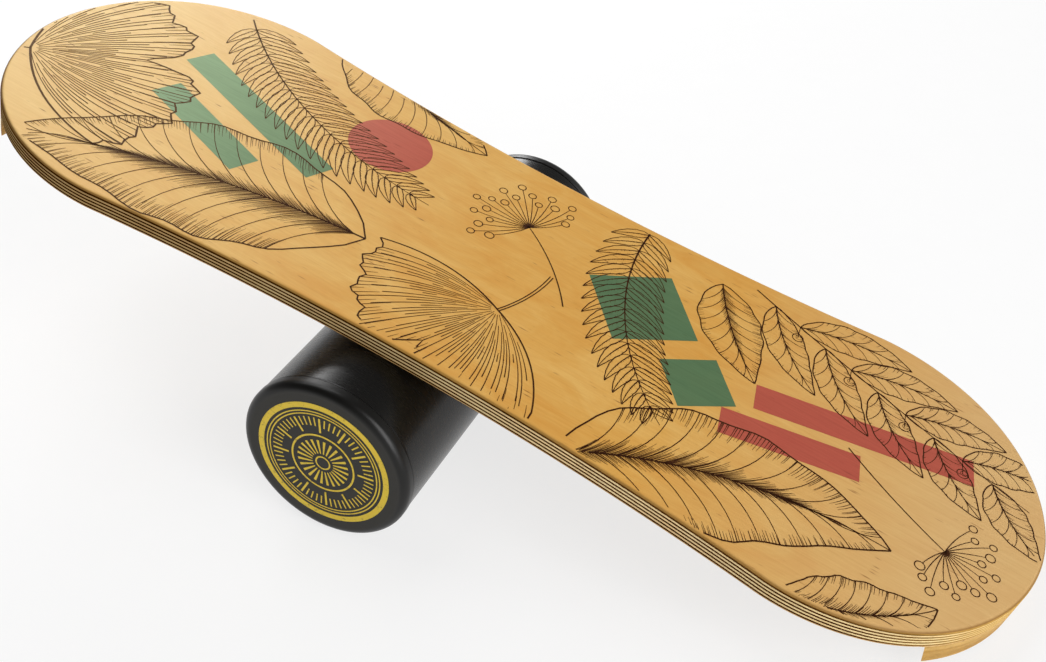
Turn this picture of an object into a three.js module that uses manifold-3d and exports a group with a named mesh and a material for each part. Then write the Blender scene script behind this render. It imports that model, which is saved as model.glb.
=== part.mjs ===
// Rola bola: a plywood balance deck on a loose roller.
// Millimetres, +Z up. The origin is on the floor, under the middle of the whole object.
// The deck leans over the roller until the stop under its right end meets the floor.
import * as THREE from 'three';
import { mergeVertices } from 'three/addons/utils/BufferGeometryUtils.js';
import Module from 'manifold-3d';

// Deck: outline and thickness
const deckLength = 824;
const waistWidth = 247;
const deckThickness = 15;
const flare = 41.5; // half-width gained between the waist and the tip, before the ends round off
const shoulderShare = 0.62; // share of the half-length where the round end begins
const endFullness = 1.75; // powers of the curve that rounds the end
const endRoundness = 1.9;

// Deck: pressed veneers and routed edge
const veneerCount = 11;
const glueLine = 0.06;
const topEdgeRadius = 3;
const bottomEdgeRadius = 1;
const routerRunout = 12; // where the lower rounding fades out before a stop

// End stops
const stopThickness = 17;
const stopDepth = 51.5; // along the deck, from the tip to the stop's inner wall at the deck
const stopLean = 4.5; // how much nearer the tip that wall is at the floor side

// Wood screws that hold each stop, driven from beneath
const screwsPerStop = 3;
const screwSpacing = 70;
const screwInset = 18; // from the stop's inner wall at the deck
const screwLength = 25;
const screwRadius = 2;
const screwHeadRadius = 4;
const screwHeadHeight = 2.6;
const screwTipLength = 5;
const screwTipRadius = 0.4;
const screwSink = 0.5; // how deep the head sits below the wood
const driveWidth = 1.2; // the cross recess in the head
const driveReach = 4.6;
const driveDepth = 1.6;

// Roller: tube and plug-in end caps
const rollerLength = 340;
const tubeRadius = 62.5;
const tubeWall = 3.7;
const tubeChamfer = 0.8;
const capLip = 0.5; // how far the cap stands proud of the tube
const capFlange = 10;
const capFillet = 6;
const capFaceWall = 3.5;
const plugLength = 22;
const plugWall = 3;
const plugChamfer = 1.5;

// How the deck lies on the roller
const deckShift = 34.5; // the deck's middle, down the slope from the line where it touches the roller
const deckSideShift = 3; // the deck's middle, towards the far end of the roller
const deckYaw = THREE.MathUtils.degToRad(-2.2);
const restGap = 0.3;
const fitClearance = 0.3;
const overrun = 10; // how far a cutting shape runs past what it cuts

// Fineness of the curves
const outlineSteps = 30; // in each quarter of the outline
const topEdgeSteps = 4;
const bottomEdgeSteps = 2;
const capFilletSteps = 4;
const rollerSides = 48;
const screwSides = 12;

const wasm = await Module();
wasm.setup();

// Turns a closed three.js geometry into a solid that can be cut and joined.
function toSolid(geometry) {
  const bare = geometry.clone();
  bare.deleteAttribute('normal');
  bare.deleteAttribute('uv');
  const merged = mergeVertices(bare);
  const vertProperties = new Float32Array(merged.attributes.position.array);
  const triVerts = new Uint32Array(merged.index.array);
  return new wasm.Manifold(new wasm.Mesh({ numProp: 3, vertProperties, triVerts }));
}

function toGeometry(solid) {
  const mesh = solid.getMesh();
  const geometry = new THREE.BufferGeometry();
  geometry.setAttribute('position', new THREE.BufferAttribute(mesh.vertProperties, mesh.numProp));
  geometry.setIndex(new THREE.BufferAttribute(mesh.triVerts, 1));
  geometry.computeVertexNormals();
  return geometry;
}

// Materials, one for each kind of stuff
const finishes = {
  longGrain: { color: 0xdcbc84, roughness: 0.35, metalness: 0 },
  crossGrain: { color: 0x8a6238, roughness: 0.6, metalness: 0 },
  stopWood: { color: 0xd2a868, roughness: 0.45, metalness: 0 },
  tubePlastic: { color: 0x141413, roughness: 0.3, metalness: 0 },
  capPlastic: { color: 0x2e2d2c, roughness: 0.45, metalness: 0 },
  screwSteel: { color: 0xb9a66a, roughness: 0.35, metalness: 0.9 },
};

function namedMesh(name, geometry, finish) {
  const mesh = new THREE.Mesh(geometry, new THREE.MeshStandardMaterial(finishes[finish]));
  mesh.name = name;
  return mesh;
}

// Half the deck's width at a place along it, x measured from the middle
function halfWidth(x) {
  const share = Math.min(Math.abs(x) / (deckLength / 2), 1);
  const round = Math.max(0, (share - shoulderShare) / (1 - shoulderShare));
  const body = waistWidth / 2 + flare * share * share;
  return body * (1 - round ** endFullness) ** (1 / endRoundness);
}

// The outline seen from above, anticlockwise from the right tip. Its points gather at the tips.
function deckOutline() {
  const quarter = [];
  for (let step = 0; step < outlineSteps; step += 1) {
    const x = (deckLength / 2) * (1 - (step / outlineSteps) ** 2);
    quarter.push(new THREE.Vector2(x, halfWidth(x)));
  }
  const middle = new THREE.Vector2(0, halfWidth(0));
  const left = quarter.map((point) => new THREE.Vector2(-point.x, point.y)).reverse();
  const farSide = [...quarter, middle, ...left];
  const nearSide = farSide.slice(1, -1).map((point) => new THREE.Vector2(point.x, -point.y));
  return [...farSide, ...nearSide.reverse()];
}

const outline = deckOutline();

// The direction straight out of the outline at each of its points
const outward = outline.map((point, index) => {
  const before = outline[(index + outline.length - 1) % outline.length];
  const after = outline[(index + 1) % outline.length];
  return new THREE.Vector2(after.y - before.y, before.x - after.x).normalize();
});

// How far a quarter-round edge draws the wall in, at a distance past the end of the wall's straight part
function roundInset(past, radius) {
  const inside = Math.min(Math.max(past, 0), radius);
  return radius - Math.sqrt(radius ** 2 - inside ** 2);
}

// The steps of a quarter-round edge, as distances from the face that it runs into
function roundSteps(radius, steps) {
  return Array.from({ length: steps + 1 }, (_, step) => radius * (1 - Math.cos((step / steps) * (Math.PI / 2))));
}

// 1 along the free edge of the deck, fading to 0 where a stop is glued on
function freeEdgeShare(x) {
  const stopStart = deckLength / 2 - stopDepth;
  return THREE.MathUtils.clamp((stopStart - Math.abs(x)) / routerRunout, 0, 1);
}

// A slice of the board: the outline at each height, drawn in by the rounded edges
function boardSlice(heights, insetAt) {
  const positions = [];
  for (const z of heights) {
    outline.forEach((point, index) => {
      const inset = insetAt(point.x, z);
      const x = point.x - outward[index].x * inset;
      const y = point.y - outward[index].y * inset;
      positions.push(x, y, z);
    });
  }
  const count = outline.length;
  const top = (heights.length - 1) * count;
  const indices = [];
  for (const [a, b, c] of THREE.ShapeUtils.triangulateShape(outline, [])) {
    indices.push(a, c, b);
    indices.push(top + a, top + b, top + c);
  }
  for (let ring = 0; ring + 1 < heights.length; ring += 1) {
    for (let index = 0; index < count; index += 1) {
      const next = (index + 1) % count;
      const low = ring * count;
      const high = low + count;
      indices.push(low + index, low + next, high + next);
      indices.push(low + index, high + next, high + index);
    }
  }
  const geometry = new THREE.BufferGeometry();
  geometry.setAttribute('position', new THREE.Float32BufferAttribute(positions, 3));
  geometry.setIndex(indices);
  return geometry;
}

// The heights that a slice needs: its two faces, and the steps of the rounded edges between them
function sliceHeights(bottom, top, roundings) {
  const inside = roundings.filter((z) => z > bottom + glueLine && z < top - glueLine);
  return [bottom, ...inside, top];
}

const deckRoundings = [
  ...roundSteps(bottomEdgeRadius, bottomEdgeSteps),
  ...roundSteps(topEdgeRadius, topEdgeSteps).map((depth) => deckThickness - depth).reverse(),
];

function deckInset(x, z) {
  const fromTop = roundInset(z - (deckThickness - topEdgeRadius), topEdgeRadius);
  const fromBottom = roundInset(bottomEdgeRadius - z, bottomEdgeRadius) * freeEdgeShare(x);
  return fromTop + fromBottom;
}

// Screw: a countersunk head with a cross recess, a shank and a point, standing on its head at z = 0
function screwProfile(grow) {
  const bottom = grow > 0 ? -screwSink - overrun : 0;
  return [
    new THREE.Vector2(0, bottom),
    new THREE.Vector2(screwHeadRadius + grow, bottom),
    new THREE.Vector2(screwHeadRadius + grow, 0),
    new THREE.Vector2(screwRadius + grow, screwHeadHeight),
    new THREE.Vector2(screwRadius + grow, screwLength - screwTipLength),
    new THREE.Vector2(screwTipRadius + grow, screwLength),
    new THREE.Vector2(0, screwLength + grow),
  ].filter((point, index) => grow > 0 || index !== 2);
}

function screwSolid(grow) {
  const turned = new THREE.LatheGeometry(screwProfile(grow), screwSides);
  turned.rotateX(Math.PI / 2);
  return toSolid(turned);
}

function screwGeometry() {
  let screw = screwSolid(0);
  for (const [width, depth] of [[driveReach, driveWidth], [driveWidth, driveReach]]) {
    const slot = new THREE.BoxGeometry(width, depth, driveDepth * 2);
    screw = screw.subtract(toSolid(slot));
  }
  return toGeometry(screw);
}

// Where the screws stand, in the deck's own frame
const screwBase = -stopThickness + screwSink;
const screwPlaces = [];
for (const side of [-1, 1]) {
  for (let index = 0; index < screwsPerStop; index += 1) {
    const x = side * (deckLength / 2 - stopDepth + screwInset);
    const y = (index - (screwsPerStop - 1) / 2) * screwSpacing;
    screwPlaces.push({ side, index, x, y });
  }
}
const pilotHoles = screwPlaces.map(({ x, y }) => screwSolid(fitClearance).translate(x, y, screwBase));

function drilled(solid) {
  return pilotHoles.reduce((rest, hole) => rest.subtract(hole), solid);
}

// Deck: eleven veneers pressed crosswise, named from the printed face down
function veneers() {
  const veneerThickness = (deckThickness - (veneerCount - 1) * glueLine) / veneerCount;
  const pitch = veneerThickness + glueLine;
  const meshes = [];
  for (let layer = 0; layer < veneerCount; layer += 1) {
    const top = deckThickness - layer * pitch;
    const bottom = top - veneerThickness;
    const heights = sliceHeights(bottom, top, deckRoundings);
    const slice = boardSlice(heights, deckInset);
    const screwed = bottom < screwBase + screwLength + fitClearance;
    const geometry = screwed ? toGeometry(drilled(toSolid(slice))) : slice;
    geometry.computeVertexNormals();
    const longGrain = layer % 2 === 0;
    const number = String(layer + 1).padStart(2, '0');
    let kind = longGrain ? 'long' : 'cross';
    if (layer === 0) kind = 'face';
    if (layer === veneerCount - 1) kind = 'back';
    meshes.push(namedMesh(`veneer_${number}_${kind}`, geometry, longGrain ? 'longGrain' : 'crossGrain'));
  }
  return meshes;
}

// End stops: the end of the outline again, cut off by a leaning inner wall
function stopSolid() {
  const top = -glueLine;
  const bottom = -stopThickness;
  const roundings = roundSteps(bottomEdgeRadius, bottomEdgeSteps).map((height) => bottom + height);
  const inset = (x, z) => roundInset(bottom + bottomEdgeRadius - z, bottomEdgeRadius);
  const board = toSolid(boardSlice(sliceHeights(bottom, top, roundings), inset));
  const innerTop = deckLength / 2 - stopDepth;
  const leanPerHeight = stopLean / stopThickness;
  const keep = new THREE.Shape([
    new THREE.Vector2(innerTop - leanPerHeight * overrun, overrun),
    new THREE.Vector2(innerTop + stopLean + leanPerHeight * overrun, bottom - overrun),
    new THREE.Vector2(deckLength, bottom - overrun),
    new THREE.Vector2(deckLength, overrun),
  ]);
  const block = new THREE.ExtrudeGeometry(keep, { depth: deckLength, bevelEnabled: false });
  block.rotateX(Math.PI / 2);
  block.translate(0, deckLength / 2, 0);
  return board.intersect(toSolid(block));
}

function stops() {
  const right = stopSolid();
  const left = right.rotate(0, 0, 180);
  return [
    namedMesh('left_end_stop', toGeometry(drilled(left)), 'stopWood'),
    namedMesh('right_end_stop', toGeometry(drilled(right)), 'stopWood'),
  ];
}

function screws() {
  return screwPlaces.map(({ side, index, x, y }) => {
    const name = `${side < 0 ? 'left' : 'right'}_stop_screw_${index + 1}`;
    const screw = namedMesh(name, screwGeometry(), 'screwSteel');
    screw.position.set(x, y, screwBase);
    return screw;
  });
}

// Roller tube: a pipe along Y, open at both ends, between the flanges of the caps
function rollerTube() {
  const half = rollerLength / 2 - capFlange - fitClearance;
  const bore = tubeRadius - tubeWall;
  const profile = [
    new THREE.Vector2(bore, -half),
    new THREE.Vector2(tubeRadius - tubeChamfer, -half),
    new THREE.Vector2(tubeRadius, -half + tubeChamfer),
    new THREE.Vector2(tubeRadius, half - tubeChamfer),
    new THREE.Vector2(tubeRadius - tubeChamfer, half),
    new THREE.Vector2(bore, half),
    new THREE.Vector2(bore, -half),
  ];
  return namedMesh('roller_tube', new THREE.LatheGeometry(profile, rollerSides), 'tubePlastic');
}

// End cap: a flanged face with a rounded rim, and a hollow plug that goes into the tube
const capRadius = tubeRadius + capLip;

function capGeometry() {
  const plugRadius = tubeRadius - tubeWall - fitClearance;
  const profile = [new THREE.Vector2(0, 0)];
  for (let step = 0; step <= capFilletSteps; step += 1) {
    const turn = (step / capFilletSteps) * (Math.PI / 2);
    const radius = capRadius - capFillet + capFillet * Math.sin(turn);
    profile.push(new THREE.Vector2(radius, capFillet - capFillet * Math.cos(turn)));
  }
  profile.push(new THREE.Vector2(capRadius, capFlange));
  profile.push(new THREE.Vector2(plugRadius, capFlange));
  profile.push(new THREE.Vector2(plugRadius, capFlange + plugLength - plugChamfer));
  profile.push(new THREE.Vector2(plugRadius - plugChamfer, capFlange + plugLength));
  profile.push(new THREE.Vector2(plugRadius - plugWall, capFlange + plugLength));
  profile.push(new THREE.Vector2(plugRadius - plugWall, capFaceWall));
  profile.push(new THREE.Vector2(0, capFaceWall));
  return new THREE.LatheGeometry(profile, rollerSides);
}

function endCap(name, side) {
  const cap = namedMesh(name, capGeometry(), 'capPlastic');
  cap.position.y = (side * rollerLength) / 2;
  cap.rotation.z = side > 0 ? Math.PI : 0;
  return cap;
}

// Roller: its axis is along Y, at the height of a cap's radius above the floor
const roller = new THREE.Group();
roller.position.z = capRadius;
roller.add(rollerTube(), endCap('near_end_cap', -1), endCap('far_end_cap', 1));

// Deck: it touches the roller's top and tilts about the roller until the right stop is on the floor
const deck = new THREE.Group();
deck.add(...veneers(), ...stops(), ...screws());
deck.position.set(deckShift, deckSideShift, tubeRadius + restGap);
deck.rotation.z = deckYaw;

function restingTilt() {
  const downSlope = outline.map((point) => point.x * Math.cos(deckYaw) - point.y * Math.sin(deckYaw));
  const reach = deckShift + Math.max(...downSlope) - bottomEdgeRadius;
  const rise = tubeRadius + restGap - stopThickness + bottomEdgeRadius;
  return Math.asin((capRadius - bottomEdgeRadius) / Math.hypot(reach, rise)) + Math.atan2(rise, reach);
}

const leaningDeck = new THREE.Group();
leaningDeck.position.z = capRadius;
leaningDeck.rotation.y = restingTilt();
leaningDeck.add(deck);

// Whole object, moved so that the origin is under the middle of its box, on the floor
const assembly = new THREE.Group();
assembly.add(leaningDeck, roller);
assembly.updateMatrixWorld(true);
const extent = new THREE.Box3().setFromObject(assembly, true);
const middle = extent.getCenter(new THREE.Vector3());
assembly.position.set(-middle.x, -middle.y, -extent.min.z);

const rolaBola = new THREE.Group();
rolaBola.add(assembly);
rolaBola.updateMatrixWorld(true);

export default rolaBola;
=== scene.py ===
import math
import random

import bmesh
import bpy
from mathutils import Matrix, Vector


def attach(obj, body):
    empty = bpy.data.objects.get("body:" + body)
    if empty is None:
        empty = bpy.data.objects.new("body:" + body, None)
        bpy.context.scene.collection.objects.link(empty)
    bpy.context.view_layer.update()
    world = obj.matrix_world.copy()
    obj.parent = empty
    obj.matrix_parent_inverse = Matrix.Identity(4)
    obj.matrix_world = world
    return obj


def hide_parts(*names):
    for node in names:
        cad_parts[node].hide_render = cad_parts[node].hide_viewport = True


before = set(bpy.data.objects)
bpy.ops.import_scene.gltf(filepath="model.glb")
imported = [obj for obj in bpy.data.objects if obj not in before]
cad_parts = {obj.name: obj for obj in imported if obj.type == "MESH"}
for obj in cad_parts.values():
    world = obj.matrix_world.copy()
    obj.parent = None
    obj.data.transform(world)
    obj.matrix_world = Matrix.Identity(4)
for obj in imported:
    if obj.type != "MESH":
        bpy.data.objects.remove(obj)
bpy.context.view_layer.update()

# %% [markdown]
# # A rola bola in Blender
#
# A rola bola is a balance trainer: a plywood deck that lies across a loose roller. The CAD
# model gives every part its true size and place. This script builds the looks around it:
# finer meshes, wood, plastic and ink materials, the camera, the lamps and the floor. Every
# length is in metres, and the object keeps the place that the CAD model gives it.

MM = 0.001

# %% [markdown]
# ## The deck's own frame
#
# The real deck slopes down to the right and is turned a little on the roller. Its pieces
# could be modelled in that slope, but it is easier to build them flat, with the deck's
# underside at z = 0 and its length along x, and to place each finished mesh with one matrix.

# %% Place the deck
DECK_THICKNESS = 15 * MM
DECK_SLOPE = math.radians(13.96214)
DECK_YAW = math.radians(-2.2)
DECK_TOP_CENTRE = Vector((0.004071, 0.003, 0.130177))
deck_turn = Matrix.Rotation(DECK_SLOPE, 4, "Y") @ Matrix.Rotation(DECK_YAW, 4, "Z")
lowered = Matrix.Translation((0, 0, -DECK_THICKNESS))
deck_place = Matrix.Translation(DECK_TOP_CENTRE) @ deck_turn @ lowered
deck_along = deck_turn @ Vector((1, 0, 0))
deck_across = deck_turn @ Vector((0, 1, 0))
print("the deck slopes", round(math.degrees(DECK_SLOPE), 2), "degrees")

# %% [markdown]
# ## Helpers for shapes
#
# A bmesh is Blender's mesh for editing. Each piece starts as one, is cleaned and placed, and
# then becomes an object. Smooth surfaces are shaded smooth, and edges sharper than 30 degrees
# stay crisp. Round pieces are a profile spun about an axis, and holes are cut with a Boolean
# modifier: both keep exact sizes, which moving single vertices by hand would not.

# %% Make a piece from a bmesh
MERGE_DISTANCE = 0.001 * MM
SHARP_ANGLE = math.radians(30)


def as_object(name, bm, place=None):
    """Merges doubles, turns the faces outwards, places the mesh and links its object."""
    bmesh.ops.remove_doubles(bm, verts=bm.verts, dist=MERGE_DISTANCE)
    bmesh.ops.recalc_face_normals(bm, faces=bm.faces)
    if place is not None:
        bm.transform(place)
    mesh = bpy.data.meshes.new(name)
    bm.to_mesh(mesh)
    bm.free()
    mesh.shade_smooth()
    mesh.set_sharp_from_angle(angle=SHARP_ANGLE)
    obj = bpy.data.objects.new(name, mesh)
    bpy.context.scene.collection.objects.link(obj)
    return obj


def show_as(obj, material, body, node=None):
    """Gives a piece its material and its moving body, and lets it stand for a CAD node."""
    obj.data.materials.clear()
    obj.data.materials.append(material)
    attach(obj, body)
    if node:
        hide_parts(node)
    print(obj.name, "has", len(obj.data.polygons), "faces")
    return obj


# %% Cut one mesh out of another
def carve(obj, cutter):
    modifier = obj.modifiers.new("carve", "BOOLEAN")
    modifier.object = cutter
    modifier.operation = "DIFFERENCE"
    modifier.solver = "EXACT"
    evaluated = obj.evaluated_get(bpy.context.evaluated_depsgraph_get())
    carved = bpy.data.meshes.new_from_object(evaluated)
    obj.modifiers.clear()
    obj.data = carved
    carved.set_sharp_from_angle(angle=SHARP_ANGLE)
    bpy.data.objects.remove(cutter)


# %% Turn a profile about the z axis
def turned(profile, steps):
    """Spins a line of (radius, height) points, in millimetres, a full turn."""
    bm = bmesh.new()
    verts = [bm.verts.new((radius * MM, 0, height * MM)) for radius, height in profile]
    edges = [bm.edges.new(pair) for pair in zip(verts, verts[1:])]
    bmesh.ops.spin(
        bm, geom=verts + edges, cent=(0, 0, 0), axis=(0, 0, 1),
        angle=2 * math.pi, steps=steps, use_merge=True,
    )
    return bm


# %% [markdown]
# ## Helpers for materials
#
# Every material is a tree of nodes. It could be wired line by line, but the same few steps
# come back: a stretched noise, a ramp of colours, a blend, a bump. One class adds nodes by
# name and sets their sockets, and a second one adds what only a material has, so that the
# materials below read as a list of steps. Patterns follow Object coordinates, and as every
# object sits at the origin, these are the real places of its points.

# %% Node builder
class NodeBuilder:
    def __init__(self, tree):
        self.nodes = tree.nodes
        self.links = tree.links

    def add(self, kind, settings=None, **sockets):
        node = self.nodes.new("ShaderNode" + kind)
        for key, value in (settings or {}).items():
            setattr(node, key, value)
        for key, value in sockets.items():
            self.put(node.inputs[key.replace("_", " ")], value)
        return node

    def put(self, socket, value):
        if isinstance(value, bpy.types.NodeSocket):
            self.links.new(value, socket)
        else:
            socket.default_value = value

    def calculate(self, operation, first, second):
        made = self.add("Math", {"operation": operation})
        self.put(made.inputs[0], first)
        self.put(made.inputs[1], second)
        return made.outputs["Value"]

    def dot(self, vector, direction):
        made = self.add("VectorMath", {"operation": "DOT_PRODUCT"})
        self.put(made.inputs[0], vector)
        self.put(made.inputs[1], direction)
        return made.outputs["Value"]

    def ramp(self, value, *stops):
        """Colours, or greys, at rising positions."""
        made = self.add("ValToRGB")
        self.links.new(value, made.inputs["Fac"])
        elements = made.color_ramp.elements
        while len(elements) < len(stops):
            elements.new(1.0)
        for element, (position, colour) in zip(elements, stops):
            element.position = position
            element.color = colour if isinstance(colour, tuple) else (colour, colour, colour, 1)
        return made.outputs["Color"]

    def blend(self, share, first, second, how="MIX"):
        made = self.add("MixRGB", {"blend_type": how})
        self.put(made.inputs["Fac"], share)
        self.put(made.inputs["Color1"], first)
        self.put(made.inputs["Color2"], second)
        return made.outputs["Color"]

    def mix_shaders(self, share, first, second):
        made = self.add("MixShader", Fac=share)
        self.links.new(first, made.inputs[1])
        self.links.new(second, made.inputs[2])
        return made.outputs["Shader"]


# %% Material builder
class Recipe(NodeBuilder):
    def __init__(self, name):
        self.material = bpy.data.materials.new(name)
        self.material.use_nodes = True
        super().__init__(self.material.node_tree)
        self.shader = self.nodes["Principled BSDF"]

    def shade(self, **sockets):
        """Sets or links the sockets of the Principled shader."""
        for key, value in sockets.items():
            self.put(self.shader.inputs[key.replace("_", " ")], value)

    def real_coordinates(self):
        return self.add("TexCoord").outputs["Object"]

    def deck_coordinates(self):
        """Real coordinates turned into the deck's own frame: x along it, y across, z up."""
        return self.add(
            "Mapping", {"vector_type": "TEXTURE"}, Vector=self.real_coordinates(),
            Location=deck_place.translation, Rotation=deck_turn.to_euler(),
        ).outputs["Vector"]

    def stretched(self, vector, scale):
        mapping = self.add("Mapping", {"vector_type": "POINT"}, Vector=vector, Scale=scale)
        return mapping.outputs["Vector"]

    def noise(self, vector, scale, detail=4.0, roughness=0.55, distortion=0.0):
        """Soft noise. A large scale along an axis makes it fine in that direction."""
        return self.add(
            "TexNoise", Vector=self.stretched(vector, scale), Scale=1.0,
            Detail=detail, Roughness=roughness, Distortion=distortion,
        ).outputs["Fac"]

    def along_deck(self, local, start, end, most=1.0):
        """Grows from 0 to its most between two places along the deck, in millimetres."""
        x = self.add("SeparateXYZ", Vector=local).outputs["X"]
        return self.add(
            "MapRange", Value=x, From_Min=start * MM, From_Max=end * MM, To_Max=most,
        ).outputs["Result"]

    def facing_share(self, direction, low, high):
        """Rises from 0 to 1 as the surface turns to face along a direction, either way."""
        towards = self.dot(self.add("NewGeometry").outputs["Normal"], direction)
        size = self.add("Math", {"operation": "ABSOLUTE"}, Value=towards)
        return self.ramp(size.outputs["Value"], (low, 0.0), (high, 1.0))

    def bump(self, height, strength, distance):
        made = self.add("Bump", Height=height, Strength=strength, Distance=distance)
        return made.outputs["Normal"]


# %% Colours
def paint(red, green, blue):
    """A colour written as on a screen, 0 to 255, as the linear values that a shader takes."""
    def linear(level):
        share = level / 255
        return share / 12.92 if level <= 10 else ((share + 0.055) / 1.055) ** 2.4
    return (linear(red), linear(green), linear(blue), 1.0)


# %% [markdown]
# ## Wood
#
# Rotary-cut birch is pale, with a soft figure, fine long fibres and short dark flecks. The
# same sheet looks quite different on its edge: where the fibres run along the edge it is
# pale, and where they run out of it the open ends drink the lacquer and turn dark brown.
# Sheets are pressed crosswise, so pale and dark lines alternate along the deck's sides.
#
# Painted or scanned pictures of wood could be wrapped round each sheet. Noise is used here
# instead, because it runs through the solid: face, rounded rim and edge agree of themselves.

# %% Birch figure, shared by the face, the back and the ink on the face
def birch(recipe, local):
    """Returns the fibres, the broad figure and the flecks of a veneer."""
    fibres = recipe.noise(local, scale=(22, 560, 60), detail=6, roughness=0.65)
    figure = recipe.noise(local, scale=(3.2, 13, 4), detail=4, roughness=0.5, distortion=0.9)
    mottle = recipe.noise(local, scale=(17, 34, 4), detail=5, roughness=0.6, distortion=1.4)
    figure = recipe.blend(0.55, figure, mottle)
    long_cells = recipe.stretched(local, scale=(52, 390, 8))
    cells = recipe.add("TexVoronoi", {"feature": "F1"}, Vector=long_cells, Scale=1.0, Randomness=1.0)
    specks = recipe.ramp(cells.outputs["Distance"], (0.06, 1.0), (0.27, 0.0))
    patches = recipe.noise(local, scale=(31, 52, 4), detail=3, roughness=0.7)
    flecked = recipe.ramp(patches, (0.54, 0.0), (0.63, 1.0))
    flecks = recipe.blend(1.0, specks, flecked, "MULTIPLY")
    return fibres, figure, flecks


# %% [markdown]
# ## The face veneer
#
# The printed face is a long-grain sheet under a thin satin lacquer. One plain brown with some
# gloss would look like plastic. So the tone follows the figure, a paler tint at the left end
# paints the lacquer's sheen there, a greyer tint grows towards the right end, and fibres and
# flecks lie over both. The rounded rim was routed after pressing, which cut through the
# lacquer: a height test makes it duller than the face, and paints it darker as shade on the
# rounding, darkest towards the left end.

# %% Face veneer: lacquered long grain
# Each tint grows from one place along the deck to another, in millimetres, up to a share. The
# first, pale one is the lacquer's painted sheen at the left end; the second is a greyer tint at the
# right.
END_SHEEN_AND_TINT = ((-20, -400, 0.44, (233, 209, 143)), (150, 350, 0.7, (202, 168, 118)))
# Places near the left and the right end, in millimetres from the deck's middle.
NEAR_ENDS = (-400, 400)
ROUNDING_START = 14.3 * MM
ROUNDING_END = 14.93 * MM


def face_veneer():
    recipe = Recipe("birch face, lacquered")
    local = recipe.deck_coordinates()
    fibres, figure, flecks = birch(recipe, local)
    tone = recipe.ramp(
        figure, (0.38, paint(200, 144, 62)), (0.50, paint(204, 154, 74)), (0.62, paint(209, 164, 88)),
    )
    # The first tint paints the lacquer's sheen at the left end.
    for start, end, share, colour in END_SHEEN_AND_TINT:
        tone = recipe.blend(recipe.along_deck(local, start, end, most=share), tone, paint(*colour))
    grain = recipe.ramp(fibres, (0.30, paint(240, 234, 222)), (0.62, paint(255, 255, 255)))
    wood = recipe.blend(0.6, tone, grain, "MULTIPLY")
    wood = recipe.blend(flecks, wood, recipe.blend(0.75, wood, paint(112, 62, 20)))
    height = recipe.add("SeparateXYZ", Vector=local).outputs["Z"]
    flat = recipe.add(
        "MapRange", Value=height, From_Min=ROUNDING_START, From_Max=ROUNDING_END,
    ).outputs["Result"]
    # The rounding's colour is painted shade: darker than the face, and darkest towards the left end.
    rim_painted_shade = recipe.ramp(
        recipe.along_deck(local, *NEAR_ENDS),
        (0.0, paint(116, 84, 44)), (0.5, paint(158, 118, 54)), (1.0, paint(148, 110, 56)),
    )
    rim_painted_shade = recipe.blend(0.8, rim_painted_shade, grain, "MULTIPLY")
    recipe.shade(
        Base_Color=recipe.blend(flat, rim_painted_shade, wood),
        Roughness=recipe.ramp(flat, (0.0, 0.75), (0.9, 0.5)),
        Normal=recipe.bump(fibres, 0.12, 0.1 * MM), Specular_IOR_Level=0.2,
        Coat_Weight=0.08, Coat_Roughness=0.3,
    )
    return recipe.material


# %% [markdown]
# ## The back veneer
#
# The underside is bare birch. The face's material could serve here too, but it brings the
# lacquer and the tints of the printed side. The back has a plainer recipe of the same fibres,
# figure and flecks, so that both sides are clearly one kind of wood.

# %% Back veneer: bare long grain
def back_veneer():
    recipe = Recipe("birch back, bare")
    fibres, figure, flecks = birch(recipe, recipe.deck_coordinates())
    tone = recipe.ramp(
        figure, (0.38, paint(208, 164, 100)), (0.50, paint(216, 176, 114)), (0.62, paint(224, 188, 130)),
    )
    wood = recipe.blend(0.7, tone, recipe.ramp(fibres, (0.3, 0.62), (0.62, 1.0)), "MULTIPLY")
    wood = recipe.blend(flecks, wood, recipe.blend(0.6, wood, paint(120, 72, 30)))
    recipe.shade(
        Base_Color=wood, Roughness=0.62, Specular_IOR_Level=0.3,
        Normal=recipe.bump(fibres, 0.3, 0.12 * MM),
    )
    return recipe.material


# %% [markdown]
# ## The veneer edges
#
# On the deck's sides every sheet shows as one thin line. Two fixed colours would do for the
# long sides, but round the ends each line turns slowly from pale to dark, or back, as the
# edge turns across the fibres. So the colour depends on how squarely the surface faces the
# fibres' ends, and every sheet of a kind can share one material. A row of tints along the
# deck is laid over both tones: it paints shade on the edge towards the left end and light
# towards the right end.

# %% Veneer edges: pale along the fibres, dark across them
# Painted shade and light by their place along the deck, from 0 near the left end to 1 near the
# right end: the edge is darkened towards the left and lit towards the right.
EDGE_PAINTED_SHADE_AND_LIGHT = (
    (0.0, paint(181, 169, 147)), (0.25, paint(186, 175, 153)), (0.5, paint(221, 222, 209)),
    (0.63, paint(255, 255, 247)), (0.75, paint(255, 255, 249)), (0.85, paint(240, 240, 228)),
)


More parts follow.
